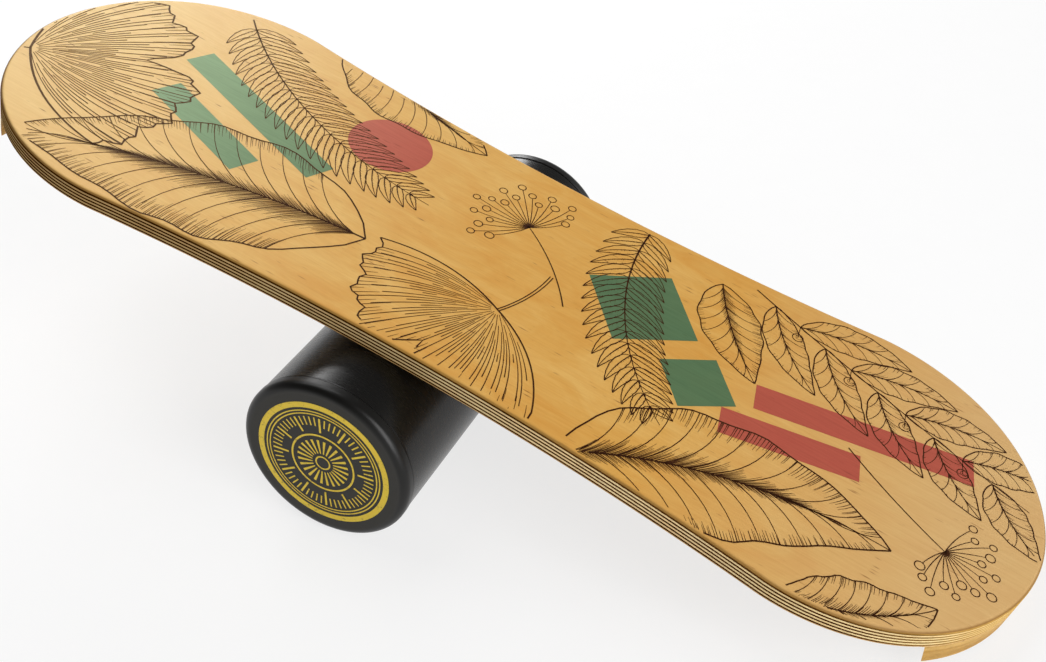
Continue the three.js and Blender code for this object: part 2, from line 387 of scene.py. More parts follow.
def veneer_edge(name, end_direction, pale, ends_dark):
    """Sides of one pair of tones, and open fibre ends of another pair."""
    recipe = Recipe(name)
    local = recipe.deck_coordinates()
    open_grain = recipe.facing_share(end_direction, 0.6, 0.95)
    fibres = recipe.noise(local, scale=(160, 160, 900), detail=5, roughness=0.7)
    blotches = recipe.noise(local, scale=(22, 22, 60), detail=3)
    sides = recipe.ramp(blotches, (0.3, paint(*pale[0])), (0.7, paint(*pale[1])))
    open_ends = recipe.ramp(blotches, (0.3, paint(*ends_dark[0])), (0.7, paint(*ends_dark[1])))
    wood = recipe.blend(open_grain, sides, open_ends)
    wood = recipe.blend(0.6, wood, recipe.ramp(fibres, (0.3, 0.68), (0.6, 1.0)), "MULTIPLY")
    # Painted shade towards the left end and painted light towards the right end.
    edge_light_and_shade = recipe.ramp(recipe.along_deck(local, *NEAR_ENDS), *EDGE_PAINTED_SHADE_AND_LIGHT)
    wood = recipe.blend(1.0, wood, edge_light_and_shade, "MULTIPLY")
    recipe.shade(
        Base_Color=wood, Roughness=0.8, Specular_IOR_Level=0.0,
        Normal=recipe.bump(fibres, 0.3, 0.15 * MM),
    )
    return recipe.material


# %% [markdown]
# ## The stop wood
#
# The end stops are sawn from solid wood, with the fibres running across the deck and the
# growth rings showing as soft bands. The veneer's material could be reused, but it has no
# rings. A noise that is long along the fibres and short across them gives the grain, and a
# second one, thin in height, gives the bands.

# %% Stop wood: a solid block, its fibres running across the deck
def stop_wood():
    recipe = Recipe("stop wood")
    local = recipe.deck_coordinates()
    fibres = recipe.noise(local, scale=(420, 18, 420), detail=6, roughness=0.65)
    rings = recipe.noise(local, scale=(14, 3, 190), detail=3, distortion=0.5)
    tone = recipe.ramp(
        rings, (0.35, paint(178, 135, 67)), (0.52, paint(192, 151, 83)), (0.66, paint(204, 165, 97)),
    )
    wood = recipe.blend(0.7, tone, recipe.ramp(fibres, (0.3, 0.72), (0.62, 1.0)), "MULTIPLY")
    recipe.shade(
        Base_Color=wood, Roughness=0.6, Specular_IOR_Level=0.1,
        Normal=recipe.bump(fibres, 0.25, 0.12 * MM),
    )
    return recipe.material


# %% Make the wood materials
LONG_TONES = (((244, 208, 156), (255, 232, 184)), ((222, 180, 112), (244, 206, 142)))
CROSS_TONES = (((178, 134, 66), (204, 162, 94)), ((56, 26, 2), (88, 46, 7)))
veneer_materials = {
    "face": face_veneer(),
    "back": back_veneer(),
    "long": veneer_edge("birch, long grain", deck_along, *LONG_TONES),
    "cross": veneer_edge("birch, cross grain", deck_across, *CROSS_TONES),
}
stop_material = stop_wood()
print("wood materials:", [material.name for material in (*veneer_materials.values(), stop_material)])

# %% [markdown]
# ## The deck's outline
#
# Seen from above the deck has a slight waist and full round ends. It could be traced with a
# Bezier curve, but a formula is smoother and has only a few numbers to fit: a width that
# grows with the square of the distance from the middle, closed at each end by a curve a
# little squarer than an ellipse.

# %% Outline points
DECK_HALF = 412 * MM
WAIST_HALF = 123.5 * MM
FLARE = 41.5 * MM
SHOULDER = 0.62
END_FULLNESS = 1.75
END_ROUNDNESS = 1.9


def half_width(x):
    share = min(abs(x) / DECK_HALF, 1.0)
    past = max(0.0, (share - SHOULDER) / (1 - SHOULDER))
    return (WAIST_HALF + FLARE * share * share) * (1 - past ** END_FULLNESS) ** (1 / END_ROUNDNESS)


def outline_points(straight=36, round_end=56):
    """Points round the deck, closer together on the round ends."""
    quarter = []
    for step in range(round_end):
        turn = math.pi / 2 * (1 - step / round_end)
        past = math.sin(turn) ** (2 / END_FULLNESS)
        quarter.append(DECK_HALF * (SHOULDER + (1 - SHOULDER) * past))
    quarter += [DECK_HALF * SHOULDER * (1 - step / straight) for step in range(straight + 1)]
    xs = quarter + [-x for x in reversed(quarter[:-1])]
    far_side = [(x, half_width(x)) for x in xs]
    near_side = [(x, -y) for x, y in reversed(far_side[1:-1])]
    return far_side + near_side


OUTLINE = outline_points()
widest = 2 * max(y for _, y in OUTLINE)
print("outline of", len(OUTLINE), "points, widest", round(widest / MM, 1), "mm")

# %% [markdown]
# ## The board and its veneers
#
# The deck is pressed from eleven sheets of birch and then routed as one piece. The script
# does the same: a filled circle is moved onto the outline and extruded, its rims are
# bevelled, and the board is sliced. Eleven separate plates could be stacked instead, but
# then the rounding would not run on from sheet to sheet. The upper rim has a 3 mm rounding,
# the lower one 1 mm, except over the end stops, where deck and stop are routed together.

# %% Board
GLUE_LINE = 0.06 * MM
TOP_RADIUS = 3 * MM
BOTTOM_RADIUS = 1 * MM
STOP_THICKNESS = 17 * MM
STOP_DEPTH = 51.5 * MM
STOP_LEAN = 4.5 * MM
STOP_WALL = DECK_HALF - STOP_DEPTH
WHOLE_RIM = 1.0


def rim_edges(bm, height, reach):
    """The edges that lie at a height and no further than reach from the deck's middle."""
    return [
        edge for edge in bm.edges
        if all(abs(v.co.z - height) < 0.01 * MM and abs(v.co.x) <= reach for v in edge.verts)
    ]


def round_rim(bm, edges, radius, segments):
    bmesh.ops.bevel(
        bm, geom=edges, offset=radius, offset_type="OFFSET",
        segments=segments, profile=0.5, affect="EDGES", material=-1,
    )


def board(bottom, top, top_radius, bottom_radius, bottom_reach):
    bm = bmesh.new()
    bmesh.ops.create_circle(bm, cap_ends=True, segments=len(OUTLINE), radius=1)
    bm.verts.ensure_lookup_table()
    for vert, (x, y) in zip(bm.verts, OUTLINE):
        vert.co = (x, y, bottom)
    raised = bmesh.ops.extrude_face_region(bm, geom=bm.faces[:])
    lifted = [part for part in raised["geom"] if isinstance(part, bmesh.types.BMVert)]
    bmesh.ops.translate(bm, verts=lifted, vec=(0, 0, top - bottom))
    bmesh.ops.recalc_face_normals(bm, faces=bm.faces)
    if top_radius:
        round_rim(bm, rim_edges(bm, top, WHOLE_RIM), top_radius, segments=7)
    round_rim(bm, rim_edges(bm, bottom, bottom_reach), bottom_radius, segments=3)
    return bm


def cut_away(bm, point, normal):
    """Removes what lies behind a plane and closes the cut."""
    everything = bm.verts[:] + bm.edges[:] + bm.faces[:]
    bmesh.ops.bisect_plane(
        bm, geom=everything, dist=0.0001 * MM, plane_co=point, plane_no=normal, clear_inner=True,
    )
    open_edges = [edge for edge in bm.edges if edge.is_boundary]
    bmesh.ops.holes_fill(bm, edges=open_edges, sides=0)


# %% Slice the board into eleven veneers
VENEERS = 11
MANY_CORNERS = 100
veneer_thickness = (DECK_THICKNESS - (VENEERS - 1) * GLUE_LINE) / VENEERS
whole_board = board(0, DECK_THICKNESS, TOP_RADIUS, BOTTOM_RADIUS, STOP_WALL)
for layer in range(VENEERS):
    top = DECK_THICKNESS - layer * (veneer_thickness + GLUE_LINE)
    bottom = top - veneer_thickness
    slice_bm = whole_board.copy()
    if layer < VENEERS - 1:
        cut_away(slice_bm, (0, 0, bottom), (0, 0, 1))
    if layer > 0:
        cut_away(slice_bm, (0, 0, top), (0, 0, -1))
    else:
        # A narrow inset keeps the smooth shading of the rim off the large flat face.
        flat_face = [
            face for face in slice_bm.faces
            if len(face.verts) > MANY_CORNERS and face.calc_center_median().z > top - 0.1 * MM
        ]
        bmesh.ops.inset_individual(slice_bm, faces=flat_face, thickness=0.5 * MM)
    kind = "face" if layer == 0 else "back" if layer == VENEERS - 1 else ("long", "cross")[layer % 2]
    node = f"veneer_{layer + 1:02d}_{kind}"
    veneer = as_object(f"wood_{node}", slice_bm, deck_place)
    show_as(veneer, veneer_materials[kind], "deck", node)
whole_board.free()

# %% [markdown]
# ## The screws
#
# Three countersunk screws hold each end stop from beneath. A screw could be bought in as a
# ready model with its thread, but the thread is hidden in the wood. So it is a spun profile,
# plain where it is hidden, with a cross recess cut into its head by two small blocks. Its
# steel is zinc plated, yellowish and a little uneven.

# %% Screws
SCREW_SPACING = 70 * MM
SCREW_INSET = 18 * MM
SCREW_SINK = 0.5 * MM
SCREW = [(0, 0), (3.7, 0), (4, 0.25), (2, 2.6), (2, 20), (0.4, 25), (0, 25)]
SCREW_HOLE = [(0, -12), (4.3, -12), (4.3, 0.1), (2.3, 2.7), (2.3, 20.2), (0.6, 25.3), (0, 25.3)]
SCREW_STEPS = 36
RECESS_WIDTH = 1.2 * MM
RECESS_LENGTH = 4.6 * MM
RECESS_HEIGHT = 3.2 * MM


def screw_place(side, index):
    x = side * (STOP_WALL + SCREW_INSET)
    return Matrix.Translation((x, (index - 1) * SCREW_SPACING, -STOP_THICKNESS + SCREW_SINK))


def screw_steel():
    recipe = Recipe("yellow zinc steel")
    mottle = recipe.noise(recipe.real_coordinates(), scale=(900, 900, 900), detail=4)
    recipe.shade(
        Base_Color=recipe.ramp(mottle, (0.3, paint(150, 128, 72)), (0.7, paint(214, 196, 132))),
        Metallic=0.9, Roughness=recipe.ramp(mottle, (0.3, 0.28), (0.7, 0.45)),
        Normal=recipe.bump(mottle, 0.2, 0.05 * MM),
    )
    return recipe.material


steel_material = screw_steel()
for side, end in ((-1, "left"), (1, "right")):
    for index in range(3):
        node = f"{end}_stop_screw_{index + 1}"
        screw = as_object(f"steel_{node}", turned(SCREW, SCREW_STEPS))
        for width, depth in ((RECESS_WIDTH, RECESS_LENGTH), (RECESS_LENGTH, RECESS_WIDTH)):
            size = Matrix.Diagonal((width, depth, RECESS_HEIGHT, 1))
            recess_bm = bmesh.new()
            bmesh.ops.create_cube(recess_bm, size=1, matrix=size)
            carve(screw, as_object("cross recess", recess_bm))
        screw.data.transform(deck_place @ screw_place(side, index))
        show_as(screw, steel_material, "deck", node)

# %% [markdown]
# ## The end stops
#
# A block under each end keeps the deck from rolling off its roller. A box would be simple,
# but the real block shares the deck's outline, because both were routed together, and its
# sawn inner wall leans out a little. So it is the same board at another height, cut by one
# slanted plane, with a drilled hole for each screw. The block is made at the right end, and
# for the left end it is turned half round.

# %% Stops
for side, end in ((-1, "left"), (1, "right")):
    stop_bm = board(-STOP_THICKNESS, -GLUE_LINE, 0, BOTTOM_RADIUS, WHOLE_RIM)
    cut_away(stop_bm, (STOP_WALL, 0, 0), (STOP_THICKNESS, 0, STOP_LEAN))
    stop = as_object(f"wood_{end}_end_stop", stop_bm)
    if side < 0:
        stop.data.transform(Matrix.Rotation(math.pi, 4, "Z"))
    for index in range(3):
        carve(stop, as_object("screw hole", turned(SCREW_HOLE, SCREW_STEPS), screw_place(side, index)))
    stop.data.transform(deck_place)
    show_as(stop, stop_material, "deck", f"{end}_end_stop")

# %% [markdown]
# ## The roller's plastics
#
# The roller is a length of black pipe, closed by two moulded caps. Pure black with an even
# gloss would look like glass. Real pipe has faint waves, which bend its reflections, a fine
# skin and a little dust, and the flat face of a cap is duller and paler than its rim. One
# function makes both plastics, because only their tone, gloss and dust differ.

# %% Roller plastics
ROLLER_AXIS = Vector((-0.048181, 0, 0.063))
ROLLER_HALF = 170 * MM
CAP_FLAT = 56 * MM
RIM_COLOUR = (11, 10, 8)
DUST_COLOUR = (150, 148, 142)


def plastic(name, face_colour, roughness, dust_share):
    """Black plastic: the face colour within the flat of the cap, the rim colour outside."""
    recipe = Recipe(name)
    centred = recipe.add(
        "Mapping", {"vector_type": "TEXTURE"}, Vector=recipe.real_coordinates(), Location=ROLLER_AXIS,
    ).outputs["Vector"]
    across = recipe.stretched(centred, (1, 0, 1))
    radius = recipe.add("VectorMath", {"operation": "LENGTH"}, Vector=across).outputs["Value"]
    gloss = recipe.add(
        "MapRange", Value=radius, From_Min=CAP_FLAT, From_Max=CAP_FLAT + 2 * MM,
        To_Min=0.5, To_Max=roughness,
    ).outputs["Result"]
    on_rim = recipe.add(
        "MapRange", Value=radius, From_Min=CAP_FLAT + 0.5 * MM, From_Max=CAP_FLAT + 3 * MM,
    ).outputs["Result"]
    black = recipe.blend(on_rim, paint(*face_colour), paint(*RIM_COLOUR))
    dust = recipe.noise(centred, scale=(260, 260, 260), detail=5, roughness=0.75)
    dusty = recipe.ramp(dust, (0.66, 0.0), (0.80, dust_share))
    scuffs = recipe.noise(centred, scale=(90, 700, 90), detail=6, roughness=0.7)
    scuffed = recipe.ramp(scuffs, (0.45, 0.0), (0.8, 0.05))
    waves = recipe.bump(recipe.noise(centred, scale=(22, 9, 22), detail=2), 0.25, 2.0 * MM)
    skin = recipe.noise(centred, scale=(1400, 1400, 1400), detail=3)
    fine = recipe.add("Bump", Height=skin, Strength=0.12, Distance=0.08 * MM, Normal=waves)
    recipe.shade(
        Base_Color=recipe.blend(dusty, black, paint(*DUST_COLOUR)),
        Roughness=recipe.calculate("ADD", gloss, scuffed),
        Normal=fine.outputs["Normal"], Specular_IOR_Level=0.3,
    )
    return recipe.material


tube_material = plastic("black pipe plastic", (11, 11, 10), 0.26, 0.10)
cap_material = plastic("moulded cap plastic", (36, 34, 29), 0.34, 0.30)
print("roller plastics:", tube_material.name, "and", cap_material.name)

# %% [markdown]
# ## The roller tube
#
# The tube is a 125 mm pipe with a wall of 3.7 mm. A cylinder with a Solidify modifier would
# do, but a spun profile of the wall has its chamfers as well. Two more rings close to the
# ends keep the smooth shading of the long side straight: without them the normals would lean
# with the chamfers all along the pipe.

# %% Tube
TUBE = [
    (58.8, -159.7), (62.0, -159.7), (62.35, -159.5), (62.5, -159.0), (62.5, -158.0),
    (62.5, 158.0), (62.5, 159.0), (62.35, 159.5), (62.0, 159.7), (58.8, 159.7), (58.8, -159.7),
]
ROLLER_STEPS = 160
along_y = Matrix.Rotation(-math.pi / 2, 4, "X")
tube_place = Matrix.Translation(ROLLER_AXIS) @ along_y
tube = as_object("plastic_roller_tube", turned(TUBE, ROLLER_STEPS), tube_place)
show_as(tube, tube_material, "roller", "roller_tube")


# %% [markdown]
# ## The end caps
#
# Each cap is a moulding: a flat face, a flange with a rounding of 6 mm that sits on the
# pipe's end, and a hollow plug inside the pipe. It could be a bevelled disc, as the plug is
# out of sight, but the meshes are a result of their own, so the whole profile is spun. The
# far cap is the near one, turned half round.


# %% Caps
def cap_profile():
    """The flat face, the 6 mm rounding of the flange, and the hollow plug behind it."""
    rounding = [
        (57 + 6 * math.sin(math.radians(turn)), 6 - 6 * math.cos(math.radians(turn)))
        for turn in range(0, 91, 9)
    ]
    plug = [(63, 9.6), (62.6, 10), (58.5, 10), (58.5, 30.5), (57, 32), (55.5, 32), (55.5, 3.5), (0, 3.5)]
    return [(0, 0), (56.5, 0), *rounding, *plug]


for end, half_turn in (("near", 0), ("far", math.pi)):
    cap_place = (
        Matrix.Translation(ROLLER_AXIS) @ Matrix.Rotation(half_turn, 4, "Z")
        @ Matrix.Translation((0, -ROLLER_HALF, 0)) @ along_y
    )
    cap = as_object(f"plastic_{end}_end_cap", turned(cap_profile(), ROLLER_STEPS), cap_place)
    show_as(cap, cap_material, "end_caps", f"{end}_end_cap")

# %% [markdown]
# ## The print
#
# The face is printed before it is lacquered: plants in fine dark line, as in an old botanical
# plate, over plain green and red shapes. An image texture could carry it, but it would blur
# close up, and nothing here reads pictures. Each pen stroke is a list of points in the deck's
# own millimetres, with a width that changes along it. The strokes become splines of a curve
# whose extrusion, laid flat by a tilt of 90 degrees, makes narrow ribbons just above the wood.
# Strokes that run off the flat face are cut there. The random numbers start from a seed, so
# that every run draws the same print.

# %% Strokes
PEN_SEED = 11
FACE_HALF = 409.5
RIM_MARGIN = 2.4
END_MARGIN = 1.006
pen = random.Random(PEN_SEED)


def on_face(x, y):
    """True where a point in millimetres lies on the flat face, clear of the rounded rim."""
    return abs(x) < FACE_HALF and abs(y) < half_width(END_MARGIN * x * MM) / MM - RIM_MARGIN


class Drawing:
    def __init__(self):
        self.runs = []

    def stroke(self, points, start, end=None, keep=on_face):
        """Adds a line whose width goes from start to end, in the parts that keep allows."""
        end = start if end is None else end
        run = []
        for index, (x, y) in enumerate(points):
            if keep(x, y):
                share = index / (len(points) - 1)
                run.append((x, y, start + (end - start) * share))
                continue
            if len(run) > 1:
                self.runs.append(run)
            run = []
        if len(run) > 1:
            self.runs.append(run)

    def to_mesh(self, name, height):
        """Turns the strokes into flat ribbons that lie at a height and face up."""
        data = bpy.data.curves.new(name, "CURVE")
        data.dimensions = "3D"
        data.twist_mode = "Z_UP"
        data.extrude = 0.5 * MM
        for run in self.runs:
            spline = data.splines.new("POLY")
            spline.points.add(len(run) - 1)
            places = [part for x, y, _ in run for part in (x * MM, y * MM, height, 1)]
            spline.points.foreach_set("co", places)
            spline.points.foreach_set("radius", [width for _, _, width in run])
            spline.points.foreach_set("tilt", [math.pi / 2] * len(run))
        line = bpy.data.objects.new(name, data)
        mesh = bpy.data.meshes.new_from_object(line)
        bpy.data.objects.remove(line)
        bm = bmesh.new()
        bm.from_mesh(mesh)
        face_up(bm)
        bm.to_mesh(mesh)
        bm.free()
        return mesh


def face_up(bm):
    bm.normal_update()
    bmesh.ops.reverse_faces(bm, faces=[face for face in bm.faces if face.normal.z < 0])


# %% Curves to draw with
def walk(x, y, heading, length, turn=0.0, steps=14):
    """A line that starts at a point and turns steadily, in degrees, on its way."""
    points = [(x, y)]
    for step in range(steps):
        angle = math.radians(heading + turn * (step + 0.5) / steps)
        x += math.cos(angle) * length / steps
        y += math.sin(angle) * length / steps
        points.append((x, y))
    return points


def at(points, share):
    """The point at a share of a line, and the line's heading there, in degrees."""
    place = min(max(share, 0.0), 0.9999) * (len(points) - 1)
    index = int(place)
    (x0, y0), (x1, y1) = points[index], points[index + 1]
    part = place - index
    heading = math.degrees(math.atan2(y1 - y0, x1 - x0))
    return (x0 + (x1 - x0) * part, y0 + (y1 - y0) * part), heading


def arc(start, end, bulge, steps=8):
    """A line between two points that bows to its left by a share of its length."""
    (x0, y0), (x1, y1) = start, end
    points = []
    for step in range(steps + 1):
        share = step / steps
        bow = 4 * bulge * share * (1 - share)
        points.append((
            x0 + (x1 - x0) * share - (y1 - y0) * bow,
            y0 + (y1 - y0) * share + (x1 - x0) * bow,
        ))
    return points


def part_of(points, first, last, steps=5):
    return [at(points, first + (last - first) * step / steps)[0] for step in range(steps + 1)]


# %% [markdown]
# ## The plants
#
# An engraver draws a leaf as an outline, a midrib and veins, and shades it with short strokes
# that grow thinner. Leaves could be traced by hand, point by point, but a rule is shorter and
# draws a new leaf wherever it is called: the breadth swells and closes along the midrib, and
# the veins lean towards the tip. A frond is many small leaves, and so is a twig.

# %% Leaves and fronds
def leaf(art, midrib, breadth, veins, shading, line=0.85, lean=0.17, fullness=0.8):
    """Two edges, a midrib, side veins, and short hatching from the midrib and the edge."""
    def edge_point(share, side):
        (x, y), heading = at(midrib, share)
        ripple = 1 + 0.035 * math.sin(31 * share + 2 * side)
        wide = breadth * math.sin(math.pi * share ** fullness) ** 0.9 * ripple
        angle = math.radians(heading + 90 * side)
        return x + math.cos(angle) * wide, y + math.sin(angle) * wide

    def rib(share, side):
        return arc(at(midrib, share)[0], edge_point(min(share + lean, 0.99), side), -0.1 * side)

    art.stroke(midrib, line * 1.3, line * 0.6)
    for side in (-1, 1):
        art.stroke([edge_point(step / 30, side) for step in range(31)], line)
        for vein in range(veins):
            art.stroke(rib(0.04 + 0.82 * vein / veins, side), line * 0.7, line * 0.4)
        for mark in range(shading):
            share = 0.03 + 0.76 * (mark + 0.8 * pen.random()) / shading
            reach = (0.22 + 0.2 * pen.random()) * (1.0 if side > 0 else 0.6)
            art.stroke(part_of(rib(share, side), 0.0, reach), line * 0.45, line * 0.15)
            if mark % 3:
                art.stroke(part_of(rib(share, side), 1.0, 1.0 - reach * 0.7), line * 0.45, line * 0.15)


def frond(art, stem, longest, pairs):
    """A fern frond: small leaves in pairs along a stem, shorter towards its tip."""
    art.stroke(stem, 1.5, 0.5)
    for pair in range(pairs):
        share = 0.06 + 0.92 * pair / pairs
        start, heading = at(stem, share)
        length = longest * (0.55 + 1.8 * share) * (1 - share) ** 0.75 + 5
        for side in (-1, 1):
            spine = walk(*start, heading + side * (68 - 18 * share), length, -24 * side, 8)
            hatching = int(length / 3.4)
            leaf(art, spine, 2 + 0.085 * length, 0, hatching, line=0.7, lean=0.1, fullness=0.62)


# %% Fans, seed heads and twigs
FAN_VEINS = 61
VEIN_REACHES = (1.0, 0.42, 0.7, 0.3, 0.55)
VEIN_STARTS = (0.05, 0.3, 0.15, 0.42, 0.22)


def fan(art, x, y, heading, size, spread=68, line=1.0):
    """A fan leaf: a stalk that opens into a fan with a cleft, and veins that run to its rim."""
    def ray(turn):
        cleft = 0.34 * math.exp(-((turn - 4) / 5.5) ** 2)
        reach = size * (1 - cleft + 0.03 * math.sin(turn * 0.33) + 0.02 * math.sin(turn * 0.9))
        angle = math.radians(heading + turn)
        tip = (x + math.cos(angle) * reach, y + math.sin(angle) * reach)
        return arc((x, y), tip, 0.0016 * turn, 14)

    turns = [spread * (2 * step / (FAN_VEINS - 1) - 1) for step in range(FAN_VEINS)]
    art.stroke([ray(turn)[-1] for turn in turns], line * 1.2)
    for turn in (-spread, spread):
        art.stroke(ray(turn), line * 1.4, line * 1.1)
    for index, turn in enumerate(turns[2:-2]):
        reach = VEIN_REACHES[index % 5] + 0.1 * pen.random()
        start = VEIN_STARTS[index % 5]
        art.stroke(part_of(ray(turn), start, min(reach + 0.2, 1.0), 10), line * 0.42, line * 0.72)
        if reach < 0.95:
            art.stroke(part_of(ray(turn + 0.4), 1.0, 1.0 - 0.3 * reach, 5), line * 0.6, line * 0.25)
    for shift in (-1.1, 1.1):
        art.stroke(walk(x + shift, y, heading + 180, size * 0.62, 26), line * 0.95, line * 0.8)


def ring(art, x, y, radius, width, keep=on_face, sides=18):
    angles = [2 * math.pi * step / sides for step in range(sides + 1)]
    points = [(x + radius * math.cos(angle), y + radius * math.sin(angle)) for angle in angles]
    art.stroke(points, width, width, keep)


def umbel(art, stem, size, stalks=19):
    """A seed head: thin stalks from the end of a stem, each with a small berry."""
    art.stroke(stem, 1.1, 0.8)
    (x, y), heading = at(stem, 1.0)
    for index in range(stalks):
        turn = -105 + 210 * index / (stalks - 1)
        reach = size * (0.62 + 0.38 * ((index * 7) % 5) / 4)
        stalk = walk(x, y, heading + turn, reach, -0.2 * turn, 8)
        art.stroke(stalk, 0.75, 0.5)
        (tip_x, tip_y), tip_heading = at(stalk, 1.0)
        radius = 2.6 + pen.random()
        angle = math.radians(tip_heading)
        ring(art, tip_x + radius * math.cos(angle), tip_y + radius * math.sin(angle), radius, 0.75)


def twig(art, stem, leaves, length):
    """A twig with slim leaves on alternate sides and a berry in every other fork."""
    art.stroke(stem, 1.3, 0.6)
    for index in range(leaves):
        side = 1 if index % 2 else -1
        start, heading = at(stem, 0.08 + 0.9 * index / leaves)
        spine = walk(*start, heading + side * 46, length * (1 - 0.3 * index / leaves), -30 * side, 10)
        leaf(art, spine, length * 0.17, 6, 16, line=0.95)
        if index % 2:
            (x, y), _ = at(walk(*start, heading - side * 60, 13, 0, 4), 1.0)
            art.stroke([start, (x, y)], 0.6)
            ring(art, x, y, 4.2, 0.7)
            ring(art, x + 0.8, y + 0.8, 2.4, 0.35)


# %% [markdown]
# ## The layout of the face
#
# Twelve plants cover both ends and leave the middle lighter. They could be scattered at
# random, but a print is composed: large leaves frame each end, and fronds, fans and seed
# heads fill in between. Places and lengths are in millimetres from the deck's middle, and
# headings are in degrees.

# %% Draw the face, from its left end to its right end
plate = Drawing()
fan(plate, x=-397, y=-40, heading=34, size=124, spread=62, line=1.35)
frond(plate, walk(-312, 124, heading=-46, length=262, turn=44, steps=20), longest=48, pairs=20)
leaf(
    plate, walk(-92, -46, heading=186, length=262, turn=22, steps=22),
    breadth=62, veins=13, shading=150, line=1.25,
)
leaf(
    plate, walk(-236, 160, heading=-24, length=168, turn=12, steps=18),
    breadth=42, veins=11, shading=90, line=1.15,
)
umbel(plate, walk(50, -8, heading=122, length=86, turn=24), size=45)
fan(plate, x=16, y=-44, heading=-116, size=98)
frond(plate, walk(66, 128, heading=-92, length=220, turn=52, steps=20), longest=42, pairs=17)
twig(plate, walk(158, 118, heading=-22, length=250, turn=6, steps=18), leaves=9, length=92)
leaf(
    plate, walk(108, -132, heading=38, length=226, turn=-40, steps=22),
    breadth=52, veins=12, shading=120, line=1.25,
)
umbel(plate, walk(268, 6, heading=-34, length=94, turn=10), size=36, stalks=15)
leaf(plate, walk(134, 104, heading=-66, length=104, turn=20), breadth=24, veins=8, shading=50, line=0.95)
leaf(plate, walk(266, -142, heading=8, length=108, turn=44), breadth=26, veins=8, shading=50, line=1.0)
print("print of", len(plate.runs), "strokes")

# %% [markdown]
# ## Inks
#
# Real ink sinks into the wood, so the fibres and the flecks still show in it. Towards the
# deck's left end it is painted paler, as the lacquer's sheen. A flat colour would look like
# tape. Each ink starts from its colour, takes a little of the figure of the birch beneath, and
# the same fibres.

# %% Ink materials
# The print is painted paler, as the lacquer's sheen, from the first of these places along the deck to
# the second, in millimetres.
PRINT_SHEEN = (-80, -320)


def ink(name, colour, sheen_colour, wear):
    recipe = Recipe(name)
    local = recipe.deck_coordinates()
    fibres, figure, flecks = birch(recipe, local)
    sheen_share = recipe.along_deck(local, *PRINT_SHEEN, most=0.55)
    tone = recipe.blend(sheen_share, paint(*colour), paint(*sheen_colour))
    beneath = recipe.ramp(figure, (0.3, paint(150, 110, 62)), (0.7, paint(206, 166, 104)))
    tone = recipe.blend(wear, tone, beneath)
    tone = recipe.blend(0.5, tone, recipe.ramp(fibres, (0.3, 0.72), (0.6, 1.0)), "MULTIPLY")
    fleck_share = recipe.blend(0.35, (0, 0, 0, 1), flecks)
    recipe.shade(
        Base_Color=recipe.blend(fleck_share, tone, paint(52, 40, 26)), Roughness=0.5,
        Normal=recipe.bump(fibres, 0.12, 0.1 * MM), Specular_IOR_Level=0.06,
    )
    return recipe.material


def printed(name, mesh, material, place, body):
    mesh.transform(place)
    obj = bpy.data.objects.new(name, mesh)
    bpy.context.scene.collection.objects.link(obj)
    return show_as(obj, material, body)


# The second colour is the ink under the painted sheen at the left end.
line_ink = ink("dark line ink", (54, 24, 6), (104, 72, 26), 0.02)
plate_mesh = plate.to_mesh("print_lines", DECK_THICKNESS + 0.12 * MM)
printed("print_lines", plate_mesh, line_ink, deck_place, "deck")

# %% [markdown]
# ## Green and red shapes
#
# Behind the line work lie bars, squares and a disc of solid colour. They could be drawn into
# the material of the face, but as thin faces of their own they keep sharp edges and an ink of
# their own. A grid of one face makes a bar, and a filled circle of many sides the disc.

# %% Draw the shapes
# Colour, number of sides, centre, length, breadth and turn, in millimetres and degrees.
SHAPES = [
    ("green", 4, -232, 20, 160, 25, -20), ("green", 4, -250, -22, 104, 25, -20),
    ("red", 96, -138, 62, 66, 66, 0), ("green", 4, 96, 34, 66, 66, 40),
    ("green", 4, 158, -10, 44, 44, 40), ("red", 4, 274, 26, 160, 25, 14),
    ("red", 4, 232, -20, 100, 25, 14),
]
# Name, colour, and the colour under the painted sheen at the left end.
SHAPE_INKS = (
    ("green", (72, 107, 76), (164, 195, 151)),
    ("red", (168, 76, 64), (224, 150, 125)),
)
for colour_name, colour, sheen_colour in SHAPE_INKS:
    shapes_bm = bmesh.new()
    for shape_colour, sides, x, y, length, breadth, angle in SHAPES:
        if shape_colour != colour_name:
            continue
        centre = Matrix.Translation((x * MM, y * MM, DECK_THICKNESS + 0.06 * MM))
        size = Matrix.Diagonal((length * MM, breadth * MM, 1, 1))
        shape_place = centre @ Matrix.Rotation(math.radians(angle), 4, "Z") @ size
        if sides == 4:
            bmesh.ops.create_grid(shapes_bm, x_segments=1, y_segments=1, size=0.5, matrix=shape_place)
        else:
            bmesh.ops.create_circle(
                shapes_bm, cap_ends=True, segments=sides, radius=0.5, matrix=shape_place,
            )
    face_up(shapes_bm)
    shapes_mesh = bpy.data.meshes.new(f"print_{colour_name}")
    shapes_bm.to_mesh(shapes_mesh)
    shapes_bm.free()
    shape_ink = ink(f"{colour_name} ink", colour, sheen_colour, 0.06)
    printed(f"print_{colour_name}", shapes_mesh, shape_ink, deck_place, "deck")

# %% [markdown]
# ## The dial on the near cap
#
# The near cap carries a plain yellow dial: one broad ring, thin rings, a row of ticks and a
# rosette of tapered rays. It could be engraved into the cap, but it is only a screen print,
# so it is drawn with the same flat ribbons as the plants, a tenth of a millimetre proud. The
# yellow is a little worn, so a noise lets it darken in small spots.

# %% Cap dial
DIAL_RINGS = ((47.8, 4.3), (43.2, 0.9), (40.9, 0.9), (23.5, 1.4))
HUB_RADIUS = 5.2
TICKS = 60
RAYS = 24
dial = Drawing()


def anywhere(x, y):
    return True


